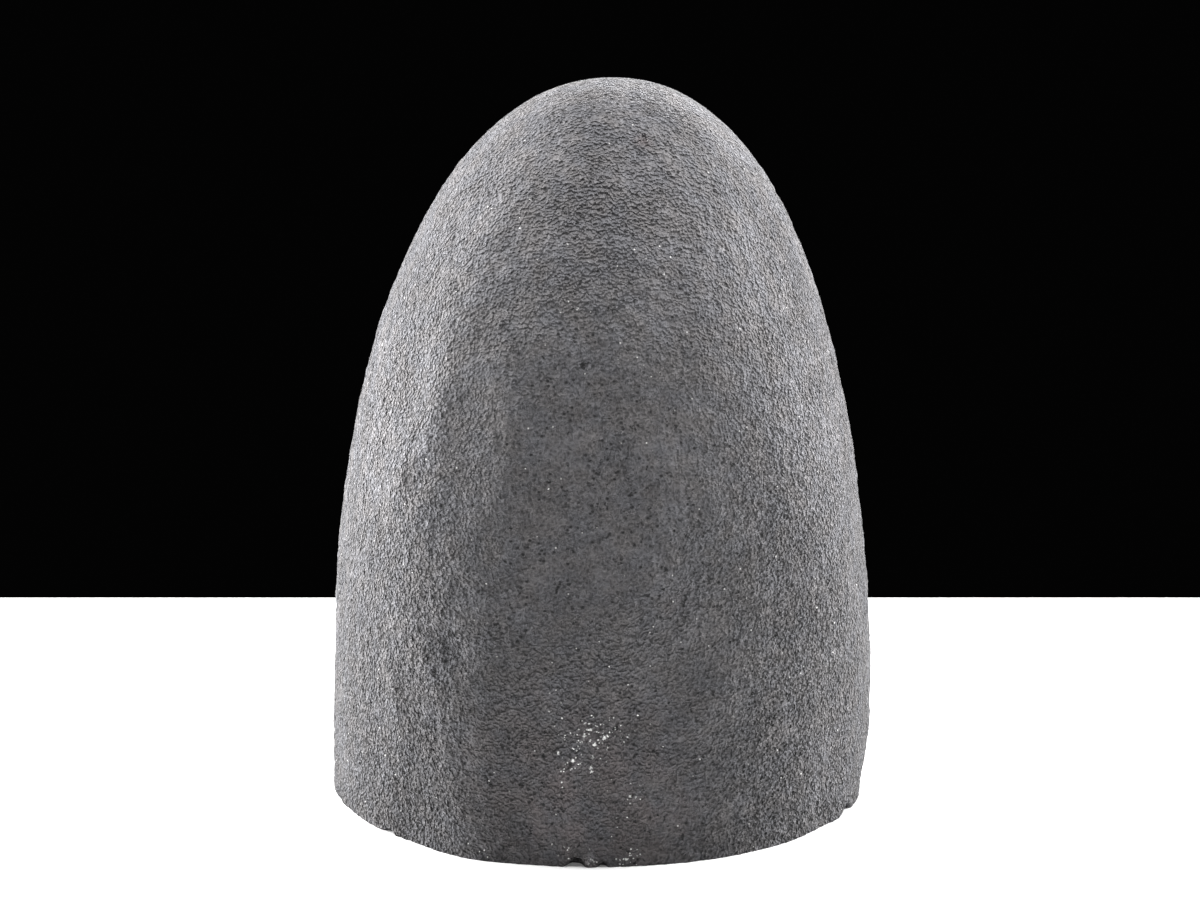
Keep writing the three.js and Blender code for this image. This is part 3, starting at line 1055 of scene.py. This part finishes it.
class GEODE_OT_crystals(bpy.types.Operator):
    """Grows the crust of amethyst points that lines the hollow"""

    bl_idname = "geode.crystals"
    bl_label = "Amethyst crust"

    def execute(self, context):
        form = context.scene.geode_form
        crystals = context.scene.geode_crystals
        clearance = 0.05 * MM
        points, centres, radii = self.grown(crystals, form)
        crust = egg("amethyst_crystals", clearance, form)
        combine(crust, egg("inner", crystals.crust, form), "DIFFERENCE")
        group = parted(centres, radii)
        faces = quartz_faces()
        for number in range(group.max() + 1):
            chosen = points[group == number]
            starts = np.arange(len(chosen))[:, None, None] * points.shape[1]
            shells = [(faces + starts).reshape(-1, 3)]
            solid = mesh_object("points", chosen.reshape(-1, 3), shells, smooth=False)
            combine(crust, solid, "UNION")
        combine(crust, egg("outer", clearance, form), "INTERSECT")
        combine(crust, front_block(form), "DIFFERENCE")
        largest_part(crust)
        mesh = crust.data
        mesh.shade_flat()
        paint(mesh, "rise", self.rise(mesh, form))
        mesh.materials.clear()
        mesh.materials.append(amethyst_material(crystals))
        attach(crust, "root")
        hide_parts("amethyst_crust")
        return {"FINISHED"}

    @staticmethod
    def grown(crystals, form):
        """Corners, middles and reaches of all the crystals: large ones on the crust, and small ones
        in the gaps and on the flanks of the large ones."""
        parts = []
        groups = (
            (crystals.main_points, 0, crystals.crust, 0.5),
            (crystals.small_points, SMALL_FIRST, crystals.crust + SMALL_LIFT, 0.9),
        )
        for count, first, crust, tilt in groups:
            i, foot, axis, spacing = seats(count, first, crust, form)
            axis = axis + tilt * (chances(i, 3, 3) - 0.5)
            axis /= np.linalg.norm(axis, axis=1)[:, None]
            # Half as wide as their spacing or more, and the small ones narrower.
            half = spacing * (0.52 + 0.42 * chance(i, 6) ** 1.5)
            if first:
                half = half * (0.55 + 0.3 * chance(i, 12))
            stand = half * 0.35 * (chance(i, 9) - 0.4)
            root = stand + crust - ROOT_HEIGHT
            local = quartz_points(half, root, i)
            turned = turned_to(axis, 2 * math.pi * chance(i, 20))
            seat = foot + axis * stand[:, None]
            parts.append(np.einsum("nij,nkj->nki", turned, local) + seat[:, None])
        points = np.concatenate(parts)
        centres = points.mean(1)
        radii = np.linalg.norm(points - centres[:, None], axis=-1).max(1)
        return points, centres, radii

    @staticmethod
    def rise(mesh, form):
        """How far each point of the crust stands in from the hollow's wall."""
        spots = np.empty(len(mesh.vertices) * 3, np.float32)
        mesh.vertices.foreach_get("co", spots)
        x, y, z = spots.reshape(-1, 3).T
        x, z = x + ASIDE - form.lean / 4, z - form.hollow_middle
        angle = np.arctan2(z, x)
        wall = mouth_radius(angle, form)
        power = 2 / form.hollow_round
        part = (np.hypot(x, z) / wall) ** power
        part += (np.clip(SLAB_Y - y, 0, None) / form.hollow_depth) ** power
        return (1 - part ** (1 / power)) * form.hollow_depth


# ------------------------ the stage


def soft_light(name, place, target, size, watts):
    """A rectangular soft light that faces a target."""
    lamp = bpy.data.lights.new(name, "AREA")
    lamp.shape = "RECTANGLE"
    lamp.size, lamp.size_y = size
    lamp.energy = watts
    light = bpy.data.objects.new(name, lamp)
    light.visible_camera = False
    bpy.context.scene.collection.objects.link(light)
    aim(light, place, target)


def aim(thing, place, target):
    """Puts a lamp or a camera at a place, looking at a target with its top up."""
    place, target = np.array(place, float), np.array(target, float)
    back = place - target
    back /= np.linalg.norm(back)
    right = np.cross((0, 0, 1), back)
    right /= np.linalg.norm(right)
    matrix = np.eye(4)
    matrix[:3] = np.stack([right, np.cross(back, right), back, place], -1)
    thing.matrix_world = matrix.T.tolist()


def round_about(middle, azimuth, elevation, distance):
    """A place round the stone: azimuth 0 is in front of its back, and 90 to its right."""
    a, e = math.radians(azimuth), math.radians(elevation)
    away = np.array([math.sin(a) * math.cos(e), -math.cos(a) * math.cos(e), math.sin(e)])
    return np.array(middle) + away * distance


class GEODE_OT_stage(bpy.types.Operator):
    """Sets up the white table, the soft lights and the camera"""

    bl_idname = "geode.stage"
    bl_label = "Table, lights and camera"

    def execute(self, context):
        stage = context.scene.geode_stage
        form = context.scene.geode_form
        far = SLAB_Y + stage.table_edge
        side = np.linspace(-TABLE_REACH, TABLE_REACH, 13)
        depth = np.linspace(far - TABLE_LENGTH, far, 9)
        x, y = np.meshgrid(side, depth)
        top = np.stack([x, y, np.zeros_like(x)], -1).reshape(-1, 3)
        table = mesh_object("table_top", top, [band(grid(len(depth), len(side)))])
        table.data.materials.append(table_material())
        table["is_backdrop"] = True

        middle = (0.0, 0.0, form.height / 2)
        for name, azimuth, elevation, distance, size, watts in LIGHTS:
            place = round_about(middle, azimuth, elevation, distance)
            soft_light(name, place, middle, size, watts)

        world = bpy.data.worlds.new("dark_room")
        world.use_nodes = True
        world.node_tree.nodes["Background"].inputs["Color"].default_value = ROOM_BLACK
        context.scene.world = world
        context.scene.view_settings.view_transform = "Standard"

        camera_data = bpy.data.cameras.new("camera")
        camera_data.sensor_width = 36
        camera_data.lens = stage.lens
        camera_data.clip_start = 0.01
        camera = bpy.data.objects.new("camera", camera_data)
        context.scene.collection.objects.link(camera)
        target = (AIM_ASIDE, SLAB_Y - AIM_BEHIND, form.height / 2)
        place = round_about(target, 0, math.degrees(stage.camera_height), stage.camera_distance)
        aim(camera, place, target)
        context.scene.camera = camera
        return {"FINISHED"}


# ------------------------ the panel


class GEODE_PT_panel(bpy.types.Panel):
    """Lists the pieces of the geode"""

    bl_idname = "GEODE_PT_panel"
    bl_label = "Amethyst geode dome"
    bl_space_type = "VIEW_3D"
    bl_region_type = "UI"
    bl_category = "Geode"

    def draw(self, context):
        for name, _ in GROUPS:
            group = getattr(context.scene, name)
            column = self.layout.column(align=True)
            for key in group.bl_rna.properties.keys():
                if key not in ("rna_type", "name"):
                    column.prop(group, key)
        for operator in OPERATORS:
            self.layout.operator(operator.bl_idname)


GROUPS = (
    ("geode_form", GeodeForm),
    ("geode_coat", GeodeCoat),
    ("geode_crystals", GeodeCrystals),
    ("geode_stage", GeodeStage),
)
OPERATORS = (GEODE_OT_stage, GEODE_OT_stone, GEODE_OT_crystals)


def register():
    for key, group in GROUPS:
        bpy.utils.register_class(group)
        setattr(bpy.types.Scene, key, PointerProperty(type=group))
    for cls in (*OPERATORS, GEODE_PT_panel):
        bpy.utils.register_class(cls)


def unregister():
    for cls in (GEODE_PT_panel, *reversed(OPERATORS)):
        bpy.utils.unregister_class(cls)
    for key, group in reversed(GROUPS):
        delattr(bpy.types.Scene, key)
        bpy.utils.unregister_class(group)


def main():
    register()
    bpy.ops.geode.stage()
    bpy.ops.geode.stone()
    bpy.ops.geode.crystals()
    sizes = {
        "cad": [list(CAD_LOW), list(CAD_HIGH)],
        "visual": [list(corner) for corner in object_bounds()],
    }


if __name__ == "__main__":
    main()
